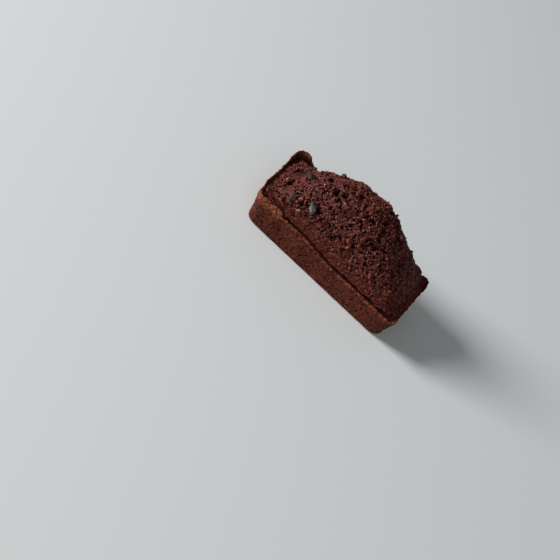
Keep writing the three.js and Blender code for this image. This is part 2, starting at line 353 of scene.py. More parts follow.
# Finish of the crust: its specks and mottling, in millimetres, the shade painted in the gaps between the
# specks, and the painted glint on its lightest specks.
CRUST_SPECK_SIZE = 0.75
CRUST_SPECK_EDGE = (0.35, 0.7)
CRUST_SPECK_SHADE = 0.5
CRUST_SPECK_BUMP = 0.12
CRUST_LIGHTEST = 1.15
MOTTLE = {"size": 2.6, "detail": 3.0, "roughness": 0.6}
MOTTLE_BAND = (0.36, 0.66)
MOTTLE_SHARE = 0.4
TONE_SHARE = 0.6
GLINT_SPECK = (0.12, 0.4)
GLINT_TONE = (0.4, 0.85)
GLINT_SLOPE = 0.15
GLINT_BOLD = 0.85
GLINT_SHARE = 0.9
CRUST_ROUGHNESS = 0.28
MOTTLE_ROUGHNESS = 0.2
PIT_ROUGHNESS = 0.6
CRUST_SPECULAR = 0.2

# Finish of the wall: the skin that the mould left, the fine pores that it leaves open, with shade painted
# in them, and wide patches.
SKIN = {"size": 1.3, "detail": 4.0, "roughness": 0.65}
SKIN_BAND = (0.38, 0.62)
SKIN_SHARE = 0.65
PATCH = {"size": 11.0, "detail": 2.0, "roughness": 0.5}
PATCH_BAND = (0.35, 0.7)
PATCH_SHARE = 0.35
FINE_PORE_SIZE = 0.85
FINE_PORE_BAND = (0.2, 0.5)
FINE_PORE_SHADE = 0.8
FINE_PORE_BUMP = 0.15
FINE_PORES_CLOSED = 0.75
WALL_LIGHTEST = 1.06
WALL_ROUGHNESS = 0.6
PORE_ROUGHNESS = 0.4
WALL_SPECULAR = 0.1

# Finish of the grains, and of the cocoa bits with their streaks.
GRAIN_SPECK_SIZE = 0.5
GRAIN_ROUGHNESS = 0.3
GRAIN_SPECK_ROUGHNESS = 0.2
GRAIN_SPECULAR = 0.5
STREAK = {"size": 0.7, "detail": 4.0, "roughness": 0.65}
STREAK_BAND = (0.3, 0.7)
STREAK_LIGHT = 0.8
STREAK_ROUGHNESS = 0.3
STREAK_BUMP = 0.15
BEAN_DARKEST = 0.6
BEAN_ROUGHNESS = 0.38
BEAN_SPECULAR = 0.22

# The stage, in metres. The camera turns about the middle, and looks past it to its aim.
FLOOR_HALF = 4.0
FLOOR_ROUGHNESS = 0.6
KEY_WAY = (-0.9, -0.24, 0.42)
KEY_SIZE = 0.9
FILL_WAY = (0.35, -0.8, 0.75)
FILL_SIZE = 1.6
LIGHT_DISTANCE = 2.4
SKY_COLOUR = (0.95, 0.98, 1.0)
SENSOR_WIDTH = 36.0
CLIP_START = 0.01
CAMERA_SHIFT_X = -0.013
CAMERA_SHIFT_Y = -0.0025
CAMERA_MIDDLE = (0.0, 0.0, 25 * MM)
CAMERA_AIM = (-6.1 * MM, -57.3 * MM, 25 * MM)


def smooth_step(value, low, high):
    """0 below low, 1 above high, and a smooth rise between them."""
    t = np.clip((value - low) / (high - low), 0.0, 1.0)
    return t * t * (3 - 2 * t)


def blend(first, second, share):
    """From the first value to the second by a share."""
    return first + (second - first) * share


def round_outline(half_length, half_width, corner):
    """Even plan points round a rounded rectangle, anticlockwise from the middle of its right end."""
    a = half_length - corner
    b = half_width - corner
    quarter = np.linspace(0.0, math.pi / 2, CORNER_STEPS)
    xs = [np.array([half_length])]
    ys = [np.array([0.0])]
    for turn, (x, y) in enumerate(((a, b), (-a, b), (-a, -b), (a, -b))):
        angle = quarter + turn * math.pi / 2
        xs.append(x + corner * np.cos(angle))
        ys.append(y + corner * np.sin(angle))
    path_x = np.concatenate(xs + [xs[0]])
    path_y = np.concatenate(ys + [ys[0]])
    travel = np.concatenate(([0.0], np.cumsum(np.hypot(np.diff(path_x), np.diff(path_y)))))
    stops = np.linspace(0.0, travel[-1], RING_POINTS, endpoint=False)
    return np.interp(stops, travel, path_x), np.interp(stops, travel, path_y)


def from_crown(offset, shift):
    """Distance from the crown, 0 at the crown and 1 at either rim, with the crown off the middle."""
    side = np.where(offset > shift, 1 - shift, 1 + shift)
    return np.minimum(1.0, np.abs(offset - shift) / side)


def respaced(rings, count):
    """The same surface in count rings, evenly spaced along each column of points."""
    rings = np.asarray(rings)
    steps = np.linalg.norm(np.diff(rings, axis=0), axis=2)
    travel = np.vstack((np.zeros(rings.shape[1]), np.cumsum(steps, axis=0)))
    result = np.empty((count, rings.shape[1], 3))
    for column in range(rings.shape[1]):
        stops = np.linspace(0.0, travel[-1, column], count)
        for axis in range(3):
            result[:, column, axis] = np.interp(stops, travel[:, column], rings[:, column, axis])
    return result


def lofted(index):
    """Four-sided faces between rings of points, given by their numbers."""
    after = np.roll(index, -1, axis=1)
    return np.stack((index[:-1], after[:-1], after[1:], index[1:]), axis=-1).reshape(-1, 4)


def point_normals(points, faces):
    """The way each point faces, from the four-sided faces round it."""
    first, second, third, fourth = (points[faces[:, corner]] for corner in range(4))
    across = np.cross(third - first, fourth - second)
    normals = np.zeros_like(points)
    for corner in range(4):
        np.add.at(normals, faces[:, corner], across)
    return normals / np.maximum(np.linalg.norm(normals, axis=1), TINY)[:, None]


def cloud(points, size, seed):
    """Soft noise over the points, about -1 to 1, with features of a size in millimetres."""
    places = (points / size + seed).tolist()
    return np.array([noise.noise(Vector(place)) for place in places])


def cells(points, size, warp, seed):
    """How far the two nearest of scattered middles are, in cell widths, and a draw for the nearest."""
    noise.seed_set(WARP_SEED)
    near = np.empty((len(points), 2))
    draw = np.empty(len(points))
    for i, place in enumerate((points / size + seed).tolist()):
        spot = Vector(place)
        spot += noise.noise_vector(spot * WARP_SCALE) * warp
        distances, middles = noise.voronoi(spot)
        near[i] = distances[:2]
        draw[i] = noise.cell(middles[0] * DRAW_SCALE)
    return near[:, 0], near[:, 1], draw


def pitted(points, pits):
    """1 in the middle of each pit, and 0 from its edge outwards."""
    near, _, draw = cells(points, pits.cell, pits.warp, pits.seed)
    radius = np.where(draw > pits.bare_share, pits.radius + pits.growth * draw, 0.0)
    return smooth_step(1 - near / np.maximum(radius, LEAST_RADIUS), 0.0, PIT_SLOPE)


class Loaf:
    """The cake's form, worked out from its sizes as in the part's source. Lengths are millimetres."""

    def __init__(self, sizes):
        self.half_length = sizes.rim_length / MM / 2
        self.half_width = sizes.rim_width / MM / 2
        self.wall_height = sizes.wall_height / MM
        self.crown_rise = sizes.crown_rise / MM
        self.lip_height = sizes.lip_height / MM
        self.groove_depth = sizes.groove_depth / MM
        self.ear_height = sizes.ear_height / MM
        self.inner = LIP_THICKNESS + LIP_GAP

    def rim_height(self, x, y):
        """The rim isn't level: it waves along the rear, and along the front it sags to the right."""
        wave = np.cos(2 * math.pi * (x - RIM_WAVE_TOP) / RIM_WAVE_LENGTH)
        rear = self.wall_height + RIM_WAVE_RISE * wave
        front = FRONT_RIM - FRONT_SAG * smooth_step(x, SAG_FROM, SAG_TO)
        share, _ = self.loose_shares(x, y)
        slope = smooth_step(-y, SLOPE_FROM, SLOPE_TO)
        share = blend(share, slope, smooth_step(x, RIGHT_END_FROM, RIGHT_END_TO))
        return blend(rear, front, share)

    def loose_shares(self, x, y):
        """How near a place is to the front lip and to the left one, where the crust stands off them."""
        front = smooth_step(-y, self.half_width - FRONT_REACH, self.half_width - self.inner)
        left = smooth_step(-x, self.half_length - LEFT_REACH, self.half_length - self.inner)
        return front, left

    def crust_start(self, x, y):
        """The height that the dome rises from: about the rim's, lower in front and higher at the left."""
        front, left = self.loose_shares(x, y)
        start = blend(CRUST_START, -FRONT_DROP, front) + FIN_FILL * left
        return self.rim_height(x, y) + start + EAR_FILL * self.ear_rise(x, y)

    def dome_shares(self, x, y):
        """How far a place is from the crown towards the ends and towards the sides."""
        u = from_crown(x / (self.half_length - self.inner), CROWN_ALONG)
        v = from_crown(y / (self.half_width - self.inner), CROWN_ACROSS)
        return u, v

    def crust_height(self, x, y):
        """The height of the crust above the base at a place inside the lip."""
        u, v = self.dome_shares(x, y)
        dome = (1 - u**ALONG_BEND) ** ALONG_FULLNESS * (1 - v**ACROSS_BEND) ** ACROSS_FULLNESS
        relief = np.zeros_like(x)
        for i in range(CRAG_WAVES):
            length = CRAG_LONGEST * CRAG_SHRINK**i
            turn = i * GOLDEN_ANGLE
            along = x * math.cos(turn) + y * math.sin(turn)
            relief += CRAG_SLOPE * length * np.sin(2 * math.pi * along / length + turn * i)
        for bump_x, bump_y, radius, height in BUMPS:
            away = np.hypot(x - bump_x, y - bump_y) / radius
            relief += height * np.exp(-away * away)
        clear_of_rim = smooth_step(np.minimum(1 - u, 1 - v), 0.0, RELIEF_FADE)
        return self.crust_start(x, y) + self.crown_rise * dome + relief * clear_of_rim

    def fin_rise(self, x):
        """The low edge of crust along the left end."""
        starts = self.half_length - RIM_CORNER
        return FIN_HEIGHT * smooth_step(-x, starts, self.half_length - LIP_THICKNESS)

    def ear_rise(self, x, y):
        """The tall flap of crust round the left rear corner."""
        along_rear = 1 - smooth_step(x, EAR_TIP, EAR_TIP + EAR_REACH)
        return self.ear_height * along_rear * smooth_step(y, EAR_FROM, EAR_TO)

    @staticmethod
    def spike_rise(x, y):
        """The slight point of crust at the right rear corner."""
        away = np.hypot(x - SPIKE_PLACE[0], y - SPIKE_PLACE[1]) / SPIKE_REACH
        return SPIKE_HEIGHT * np.exp(-away * away)

    @staticmethod
    def ledge_reach(x):
        """1 along the left of the front, as far as the torn ledge goes, and 0 to the right of it."""
        return smooth_step(-x, -LEDGE_FROM, LEDGE_RUN - LEDGE_FROM)

    def ledge_share(self, x, y):
        """1 on the torn ledge, and 0 away from it."""
        starts = self.half_width - RIM_CORNER
        at_front = smooth_step(-y, starts, self.half_width - LIP_THICKNESS)
        return at_front * self.ledge_reach(x)

    def lip_rise(self, x, y):
        """How far the lip stands above the rim, with the end's fin, the ledge, the ear and the spike."""
        ragged = sum(height * np.sin(kx * x + ky * y) for kx, ky, height in RAGGED_WAVES)
        plan = np.stack((x, y, np.zeros_like(x)), axis=1)
        tear = sum(depth * cloud(plan, size, TEAR_SEED) for size, depth in TEAR_SIZES)
        tall = np.maximum(self.fin_rise(x), LEDGE_HEIGHT * self.ledge_share(x, y))
        tall = tall * (1 + FIN_TEAR * tear)
        tall = np.maximum(tall, self.ear_rise(x, y) * (1 + EAR_TEAR * tear))
        front, _ = self.loose_shares(x, y)
        low = blend(FLUSH_LIP, self.lip_height, front) + ragged * blend(REAR_RAGGED, 1.0, front)
        return low * (1 + tear) + tall + self.spike_rise(x, y)

    def wall_rings(self):
        """The rounded bottom edge and the tapered wall up to the rim."""
        edge = []
        for angle in np.linspace(0.0, math.pi / 2, EDGE_RINGS):
            inset = BASE_EDGE * (1 - math.sin(angle))
            half_length = self.half_length - WALL_TAPER - inset
            half_width = self.half_width - WALL_TAPER - inset
            x, y = round_outline(half_length, half_width, BASE_CORNER - inset)
            z = np.full_like(x, BASE_EDGE * (1 - math.cos(angle)))
            edge.append(np.stack((x, y, z), axis=1))
        wall = []
        for t in np.linspace(0.0, 1.0, WALL_RINGS):
            inset = WALL_TAPER * (1 - t)
            corner = blend(BASE_CORNER, RIM_CORNER, t)
            x, y = round_outline(self.half_length - inset, self.half_width - inset, corner)
            swell = WALL_WAVE_DEPTH * math.sin(math.pi * t)
            wave = swell * np.sin(2 * math.pi * (x + y) / WALL_WAVE_LENGTH + WALL_WAVE_LEAN * t)
            x = x + wave * x / self.half_length
            y = y + wave * y / self.half_width
            z = blend(BASE_EDGE, self.rim_height(x, y), t)
            wall.append(np.stack((x, y, z), axis=1))
        return np.array(edge[:-1] + wall)

    def lip_rings(self):
        """The lip goes up its outer face, over its edge, and down into the groove behind it."""
        x, y = round_outline(self.half_length, self.half_width, RIM_CORNER)
        core_x = np.clip(x, RIM_CORNER - self.half_length, self.half_length - RIM_CORNER)
        core_y = np.clip(y, RIM_CORNER - self.half_width, self.half_width - RIM_CORNER)
        inward = np.stack((core_x - x, core_y - y), axis=1)
        inward /= np.linalg.norm(inward, axis=1)[:, None]
        rim = self.rim_height(x, y)
        rise = self.lip_rise(x, y)
        ear = self.ear_rise(x, y)
        fin = self.fin_rise(x) * smooth_step(y, FIN_FLARE_FROM, FIN_FLARE_TO)
        flare = np.maximum(EAR_FLARE * ear, FIN_FLARE * fin)
        front, left = self.loose_shares(x, y)
        thick_right = front * smooth_step(x, THICK_FROM, THICK_TO)
        thicker = 1 + THICKER_LIP * np.maximum.reduce((left, thick_right, ear / self.ear_height))
        rings = []
        for inset, share in LIP_PROFILE:
            step = inset * thicker - flare * share
            ring_x = x + inward[:, 0] * step
            ring_y = y + inward[:, 1] * step
            rings.append(np.stack((ring_x, ring_y, rim + rise * share), axis=1))
        bottom = (LIP_THICKNESS + self.inner) / 2
        foot_x = x + inward[:, 0] * bottom
        foot_y = y + inward[:, 1] * bottom
        front, left = self.loose_shares(foot_x, foot_y)
        groove = self.groove_depth * np.maximum(front, LEFT_GROOVE * left)
        foot_z = self.crust_start(foot_x, foot_y) - groove
        return np.array(rings + [np.stack((foot_x, foot_y, foot_z), axis=1)])

    def crust_rings(self):
        """The crust climbs out of the groove in rounder and rounder rings to the ridge."""
        rings = []
        start = RIM_CORNER - self.inner
        for i in range(DENSE_CRUST_RINGS):
            t = (i / (DENSE_CRUST_RINGS - 1)) ** RING_CROWDING
            inset = blend(self.inner, self.half_width, t)
            half_width = self.half_width - inset
            corner = min(blend(start, half_width, min(1.0, ROUNDING_RATE * t)), half_width)
            x, y = round_outline(self.half_length - inset, half_width, corner)
            rings.append(np.stack((x, y, self.crust_height(x, y)), axis=1))
        return np.array(rings)

    def wall(self):
        """Points, faces and rings of the base, the wall and the lip, and where the lip's inside starts."""
        wall = self.wall_rings()
        lip = self.lip_rings()
        outer = respaced(lip[: LIP_EDGE + 1], LIP_RINGS)
        inner = respaced(lip[LIP_EDGE:], LIP_RINGS)
        rings = np.concatenate((wall[:-1], outer[:-1], inner))
        index = np.arange(len(rings) * RING_POINTS).reshape(len(rings), RING_POINTS)
        first_inner = (len(wall) - 1 + LIP_RINGS - 1) * RING_POINTS
        return rings.reshape(-1, 3), lofted(index), index, first_inner

    def crust(self):
        """Points, faces and rings of the crust, from a root inside the wall to the ridge, zipped shut."""
        foot = self.lip_rings()[-1:]
        root = foot - (0.0, 0.0, CRUST_ROOT)
        climb = respaced(np.concatenate((foot, self.crust_rings())), CRUST_RINGS)
        rings = np.concatenate((root, climb))
        last = len(rings) - 1
        columns = np.arange(RING_POINTS)
        index = np.arange(len(rings) * RING_POINTS).reshape(len(rings), RING_POINTS)
        index[last] = last * RING_POINTS + np.minimum(columns, RING_POINTS - columns)
        points = rings.reshape(-1, 3)[: last * RING_POINTS + RING_POINTS // 2 + 1]
        return points, lofted(index), index


def new_mesh(name, points, faces):
    """A mesh object in metres from points in millimetres."""
    mesh = bpy.data.meshes.new(name)
    mesh.from_pydata((points * MM).tolist(), [], faces)
    if mesh.validate():
        raise RuntimeError(f"{name} has faces that Blender had to repair")
    mesh.shade_smooth()
    piece = bpy.data.objects.new(name, mesh)
    bpy.context.scene.collection.objects.link(piece)
    return piece


def write_values(piece, name, values):
    """Stores one number for each point of the mesh, for its material to read."""
    attribute = piece.data.attributes.new(name, "FLOAT", "POINT")
    attribute.data.foreach_set("value", np.asarray(values, np.float32))


def read_values(piece, name):
    """The numbers that write_values stored."""
    values = np.empty(len(piece.data.vertices), np.float32)
    piece.data.attributes[name].data.foreach_get("value", values)
    return values


class Value:
    """An output socket. Arithmetic on it adds Math nodes to its material."""

    def __init__(self, finish, socket):
        self.finish = finish
        self.socket = socket

    def math(self, operation, *operands):
        """Adds a Math node that works on the operands."""
        sockets = dict(enumerate(operands))
        return self.finish.node("ShaderNodeMath", {"operation": operation}, sockets)

    def __add__(self, other):
        return self.math("ADD", self, other)

    def __sub__(self, other):
        return self.math("SUBTRACT", self, other)

    def __mul__(self, other):
        return self.math("MULTIPLY", self, other)

    def __radd__(self, other):
        return self.math("ADD", other, self)

    def __rsub__(self, other):
        return self.math("SUBTRACT", other, self)

    def __rmul__(self, other):
        return self.math("MULTIPLY", other, self)

    def between(self, low, high):
        """0 at low, 1 at high, smooth between them."""
        settings = {"interpolation_type": "SMOOTHSTEP"}
        return self.finish.node("ShaderNodeMapRange", settings, {0: self, 1: low, 2: high})


class Finish:
    """A node material under construction."""

    def __init__(self, name):
        self.material = bpy.data.materials.new(name)
        self.material.use_nodes = True
        self.tree = self.material.node_tree
        self.shader = self.tree.nodes["Principled BSDF"]

    def node(self, kind, settings, sockets, output=0):
        """Adds a node, sets its settings, fills its sockets by name or number, and returns one output."""
        made = self.tree.nodes.new(kind)
        for name, setting in settings.items():
            setattr(made, name, setting)
        for name, given in sockets.items():
            self.fill(made.inputs[name], given)
        return Value(self, made.outputs[output])

    def fill(self, socket, given):
        """Links a Value to a socket, or sets a plain number, colour or vector on it."""
        if isinstance(given, Value):
            self.tree.links.new(given.socket, socket)
        else:
            socket.default_value = given

    def place(self):
        """Where a point of the surface is, in millimetres."""
        metres = self.node("ShaderNodeTexCoord", {}, {}, "Object")
        return self.scaled(metres, 1 / MM)

    def stored(self, name, output="Fac"):
        """A number or colour that was stored on the points of the mesh."""
        return self.node("ShaderNodeAttribute", {"attribute_name": name}, {}, output)

    def grain(self, place, size, detail, roughness):
        """Soft noise from 0 to 1 with features of a size in millimetres."""
        sockets = {"Vector": place, "Scale": 1 / size, "Detail": detail, "Roughness": roughness}
        return self.node("ShaderNodeTexNoise", {}, sockets)

    def cell(self, place, size):
        """How far the middle of the nearest of scattered cells is, for cells of a size in millimetres."""
        return self.node("ShaderNodeTexVoronoi", {}, {"Vector": place, "Scale": 1 / size}, "Distance")

    def mix(self, share, first, second):
        """From the first colour to the second by a share."""
        return self.node("ShaderNodeMix", {"data_type": "RGBA"}, {0: share, 6: first, 7: second}, 2)

    def scaled(self, vector, scale):
        """A colour or vector times a number."""
        return self.node("ShaderNodeVectorMath", {"operation": "SCALE"}, {0: vector, "Scale": scale})

    def bump(self, height, distance):
        """A bumped normal from a height of 0 to 1 that stands a distance in millimetres."""
        return self.node("ShaderNodeBump", {}, {"Height": height, "Distance": distance * MM})

    def surface(self, **sockets):
        """Fills the sockets of the surface, named with underscores for spaces."""
        for name, given in sockets.items():
            self.fill(self.shader.inputs[name.replace("_", " ")], given)
        return self.material


def rgba(colour):
    """A colour as a socket takes it."""
    return (*colour, 1.0)


def crust_finish(colours):
    """The baked crust of the dome: light and dark lumps, with painted shade between them and in the pits,
    and painted glints on the lightest specks.
    """
    finish = Finish("chocolate_crust")
    place = finish.place()
    painted_shade = finish.stored("painted_shade")
    tone = finish.stored("tone")
    bold = finish.stored("bold")
    speck = finish.cell(place, CRUST_SPECK_SIZE)
    mottle = finish.grain(place, **MOTTLE)
    light_share = MOTTLE_SHARE * mottle.between(*MOTTLE_BAND) + TONE_SHARE * tone
    light = finish.mix(bold, rgba(colours.slope), rgba(colours.crust))
    colour = finish.mix(light_share, rgba(colours.crust_dark), light)
    # Painted shade in the gaps between the specks.
    colour = finish.scaled(colour, CRUST_LIGHTEST - CRUST_SPECK_SHADE * speck.between(*CRUST_SPECK_EDGE))
    # Painted glints on the tops of the lightest specks, most where the crust is bold.
    speck_top = 1.0 - speck.between(*GLINT_SPECK)
    painted_glint = speck_top * (GLINT_SLOPE + GLINT_BOLD * bold) * tone.between(*GLINT_TONE)
    colour = finish.mix(painted_glint * GLINT_SHARE, colour, rgba(colours.painted_glint))
    # Painted shade in the pits, the gaps, the crack and the holes.
    colour = finish.mix(painted_shade, colour, rgba(colours.pit))
    return finish.surface(
        Base_Color=colour,
        Roughness=CRUST_ROUGHNESS + MOTTLE_ROUGHNESS * mottle + PIT_ROUGHNESS * painted_shade,
        Normal=finish.bump(1.0 - speck, CRUST_SPECK_BUMP),
        Specular_IOR_Level=CRUST_SPECULAR,
    )


def wall_finish(colours):
    """The porous crumb of the wall, with painted shade in its pores and inside the lip, and the torn crumb
    of its lip, which on the fin and the ear is also a painted highlight.
    """
    finish = Finish("chocolate_wall")
    place = finish.place()
    painted_shade = finish.stored("painted_shade")
    torn = finish.stored("torn")
    skin = finish.grain(place, **SKIN).between(*SKIN_BAND)
    pore = 1.0 - finish.cell(place, FINE_PORE_SIZE).between(*FINE_PORE_BAND)
    pore = pore * (1.0 - FINE_PORES_CLOSED * skin)
    light_share = PATCH_SHARE * finish.grain(place, **PATCH).between(*PATCH_BAND) + SKIN_SHARE * skin
    colour = finish.mix(light_share, rgba(colours.wall), rgba(colours.wall_light))
    colour = finish.mix(torn, colour, rgba(colours.torn))
    # Painted shade in the fine pores.
    colour = finish.scaled(colour, WALL_LIGHTEST - FINE_PORE_SHADE * pore)
    # Painted shade in the pores and on the inside of the lip.
    colour = finish.mix(painted_shade, colour, rgba(colours.pit))
    return finish.surface(
        Base_Color=colour,
        Roughness=WALL_ROUGHNESS + PORE_ROUGHNESS * painted_shade,
        Normal=finish.bump(1.0 - pore, FINE_PORE_BUMP),
        Specular_IOR_Level=WALL_SPECULAR,
    )


def grain_finish(colours):
    """Coarse grains of the crust, each a little lighter or darker than the next."""
    finish = Finish("crust_grains")
    speck = finish.cell(finish.place(), GRAIN_SPECK_SIZE)
    return finish.surface(
        Base_Color=finish.mix(finish.stored("tone"), rgba(colours.crust), rgba(colours.grain)),
        Roughness=GRAIN_ROUGHNESS + GRAIN_SPECK_ROUGHNESS * speck,
        Specular_IOR_Level=GRAIN_SPECULAR,
    )


def bean_finish():
    """Broken cocoa bean: waxy, streaky faces in the shade that each bit has."""
    finish = Finish("cocoa_bean")
    streak = finish.grain(finish.place(), **STREAK)
    light = BEAN_DARKEST + STREAK_LIGHT * streak.between(*STREAK_BAND)
    return finish.surface(
        Base_Color=finish.scaled(finish.stored("tint", "Color"), light),
        Roughness=BEAN_ROUGHNESS + STREAK_ROUGHNESS * streak,
        Normal=finish.bump(streak, STREAK_BUMP),
        Specular_IOR_Level=BEAN_SPECULAR,
    )


class CakeSizes(bpy.types.PropertyGroup):
    """Sizes of the cake, as in the part's source."""

    rim_length: FloatProperty(
        name="Rim Length", description="Length over the rim", default=99 * MM, unit="LENGTH"
    )
    rim_width: FloatProperty(
        name="Rim Width", description="Width over the rim", default=42 * MM, unit="LENGTH"
    )
    wall_height: FloatProperty(
        name="Wall Height", description="Height of the moulded wall", default=19.5 * MM, unit="LENGTH"
    )
    crown_rise: FloatProperty(
        name="Crown Rise", description="Height of the dome above the rim", default=31.5 * MM, unit="LENGTH"
    )
    lip_height: FloatProperty(
        name="Lip Height", description="Height of the lip above the rim", default=0.45 * MM, unit="LENGTH"
    )
    groove_depth: FloatProperty(
        name="Groove Depth", description="Depth of groove behind the lip", default=0.9 * MM, unit="LENGTH"
    )
    ear_height: FloatProperty(
        name="Ear Height", description="Height of the tall ear of crust", default=9 * MM, unit="LENGTH"
    )
    grain_depth: FloatProperty(
        name="Grain Depth", description="Relief of grains in the crust", default=0.85 * MM, unit="LENGTH"
    )
    pore_depth: FloatProperty(
        name="Pore Depth", description="Depth of the pores in the wall", default=0.6 * MM, unit="LENGTH"
    )
    wall_triangles: IntProperty(
        name="Wall Triangles", description="Triangles that the wall is thinned out to", default=120000
    )
    crust_triangles: IntProperty(
        name="Crust Triangles", description="Triangles that the crust is thinned out to", default=196000
    )
    grain_count: IntProperty(
        name="Grains", description="Coarse grains that stand out of the crust", default=1200
    )


class CakeColours(bpy.types.PropertyGroup):
    """Colours of the crumb, the crust and the stage, as linear light."""

    crust: FloatVectorProperty(
        name="Crust", description="Lit crust of the dome", default=(0.250, 0.048, 0.030), subtype="COLOR"
    )
    slope: FloatVectorProperty(
        name="Slope", description="Crust low on the dome", default=(0.220, 0.042, 0.015), subtype="COLOR"
    )
    crust_dark: FloatVectorProperty(
        name="Dark Crust", description="Darker patches", default=(0.078, 0.0108, 0.0070), subtype="COLOR"
    )
    grain: FloatVectorProperty(
        name="Grain", description="The lightest grains", default=(0.250, 0.086, 0.072), subtype="COLOR"
    )
    # Colour of the painted glints.
    painted_glint: FloatVectorProperty(
        name="Glint", description="The lightest specks", default=(0.44, 0.19, 0.165), subtype="COLOR"
    )
    # Colour of the painted shade deep in pits, gaps, cracks, pores and inside the lip.
    pit: FloatVectorProperty(
        name="Pit", description="Deep in the pits", default=(0.012, 0.0018, 0.0012), subtype="COLOR"
    )
    wall: FloatVectorProperty(
        name="Wall", description="Crumb of the wall", default=(0.062, 0.0110, 0.0058), subtype="COLOR"
    )
    wall_light: FloatVectorProperty(
        name="Light Wall", description="Lighter patches", default=(0.160, 0.036, 0.0178), subtype="COLOR"
    )
    # Torn crumb colour; on the edges of the fin and the ear it is also a painted highlight.
    torn: FloatVectorProperty(
        name="Torn Edge", description="Torn lip and ledge", default=(0.270, 0.080, 0.034), subtype="COLOR"
    )
    floor: FloatVectorProperty(
        name="Floor", description="The pale floor", default=(0.87, 0.90, 0.90), subtype="COLOR"
    )


class StageSettings(bpy.types.PropertyGroup):
    """Where the camera stands, and how strong the lights are."""

    azimuth: FloatProperty(
        name="Azimuth", description="Way round from the front", default=math.radians(1.98), subtype="ANGLE"
    )
    elevation: FloatProperty(
        name="Elevation", description="Angle above the floor", default=math.radians(40.33), subtype="ANGLE"
    )
    roll: FloatProperty(
        name="Roll", description="Tilt of the camera", default=math.radians(41.09), subtype="ANGLE"
    )
    distance: FloatProperty(
        name="Distance", description="From the camera to the cake", default=632.4 * MM, unit="LENGTH"
    )
    lens: FloatProperty(name="Lens", description="Focal length", default=77.14, unit="CAMERA")
    key_power: FloatProperty(name="Key", description="Power of the key light", default=66.0, unit="POWER")
    fill_power: FloatProperty(name="Fill", description="Power of the fill light", default=6.0, unit="POWER")
    sky: FloatProperty(name="Sky", description="Strength of the light from all round", default=0.13)


class CakePiece:
    """What the operators that make a piece share."""

    bl_options = {"REGISTER", "UNDO"}

    @staticmethod
    def settle(piece, slot, material):
        """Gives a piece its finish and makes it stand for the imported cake."""
        piece.data.materials.append(material)
        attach(piece, "root")
        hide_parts("cake")

    @staticmethod
    def thin_out(piece, triangles):
        """Thins the mesh out where it is nearly flat."""
        counted = sum(len(face.vertices) - 2 for face in piece.data.polygons)
        modifier = piece.modifiers.new("thin_out", "DECIMATE")
        modifier.ratio = min(1.0, triangles / counted)
        bpy.context.view_layer.update()
        evaluated = piece.evaluated_get(bpy.context.evaluated_depsgraph_get())
        thinned = bpy.data.meshes.new_from_object(evaluated)
        piece.modifiers.clear()
        piece.data = thinned


class CAKE_OT_wall(CakePiece, bpy.types.Operator):
    """Makes the base, the porous wall and the torn lip"""

    bl_idname = "cake.wall"
    bl_label = "Wall"

    def execute(self, context):
        sizes = context.scene.cake_sizes
        loaf = Loaf(sizes)
        points, faces, index, first_inner = loaf.wall()
        normals = point_normals(points, faces)
        above = points[:, 2] - loaf.rim_height(points[:, 0], points[:, 1])
        moved, painted_shade = self.relief(points, above, sizes.pore_depth / MM)
        moved[first_inner:] = 0.0
        points = points + normals * moved[:, None]
        torn = self.torn_and_lit_edge_share(loaf, points, above, first_inner)
        inside = slice(first_inner + RING_POINTS, None)
        # Painted shade on the inside of the lip.
        painted_shade[inside] = self.inside_shade(loaf, points[inside], above[inside])
        ends = [index[0, ::-1].tolist(), index[-1].tolist()]
        piece = new_mesh("cake_wall", points + SHIFT_TO_FRAME, faces.tolist() + ends)
        write_values(piece, "painted_shade", painted_shade)
        write_values(piece, "torn", torn)
        self.thin_out(piece, sizes.wall_triangles)
        self.settle(piece, "chocolate_crumb", wall_finish(context.scene.cake_colours))
        return {"FINISHED"}

    @staticmethod
    def relief(points, above, depth):
        """How far each point of the wall moves out, in millimetres, and how much shade is painted on it in
        the pores.
        """
        lumps = cloud(points, *WALL_LUMPS)
        uneven = cloud(points, *UNEVEN)
        pores = np.maximum(SMALL_PORE * pitted(points, WALL_PORES), pitted(points, WIDE_PORES))
        lump_share = WALL_LUMP + LIP_LUMP * smooth_step(above, *LIP_LUMPS_SET_IN)
        moved = depth * (WALL_UNEVEN * uneven + lump_share * lumps - PORE_SINK * pores)
        return moved * smooth_step(points[:, 2], *PORES_SET_IN), PORE_SHADE * pores

    @staticmethod
    def inside_shade(loaf, points, above):
        """How much shade is painted on the inside of the lip: along the crack in front, less at the left,
        and in the ear.
        """
        front, left = loaf.loose_shares(points[:, 0], points[:, 1])
        tall = EAR_SHADE * smooth_step(above, *EAR_SHADE_SETS_IN)
        return INSIDE_SHADE * np.maximum.reduce((front, LEFT_SHADE * left, tall))

    @staticmethod
    def torn_and_lit_edge_share(loaf, points, above, first_inner):
        """1 where torn crumb shows: on the lip's edge, the fin, the ledge and the ear. On the edges of the
        fin and the ear it is also a painted highlight.
        """
        x = points[:, 0]
        y = points[:, 1]
        front, left = loaf.loose_shares(x, y)
        patchy = TORN_LIP + TORN_LIP_PATCHY * cloud(points, *TORN_PATCHES)
        lip = smooth_step(above, *TORN_LIP_SETS_IN) * np.maximum(front, left) * patchy
        patchy = TORN_LEDGE + TORN_LEDGE_PATCHY * cloud(points, *LEDGE_PATCHES)
        ledge = loaf.ledge_share(x, y) * smooth_step(above, *TORN_LEDGE_SETS_IN) * patchy
        torn = np.clip(np.maximum(lip, ledge), 0, 1)
        edge = slice(first_inner - RING_POINTS, first_inner + RING_POINTS)
        ear = loaf.ear_rise(x[edge], y[edge]) / loaf.ear_height
        # On the edges of the fin and the ear the torn crumb colour is also a painted highlight.
        torn[edge] = np.maximum.reduce((torn[edge], TORN_AND_LIT_FIN * left[edge], ear))
        return torn


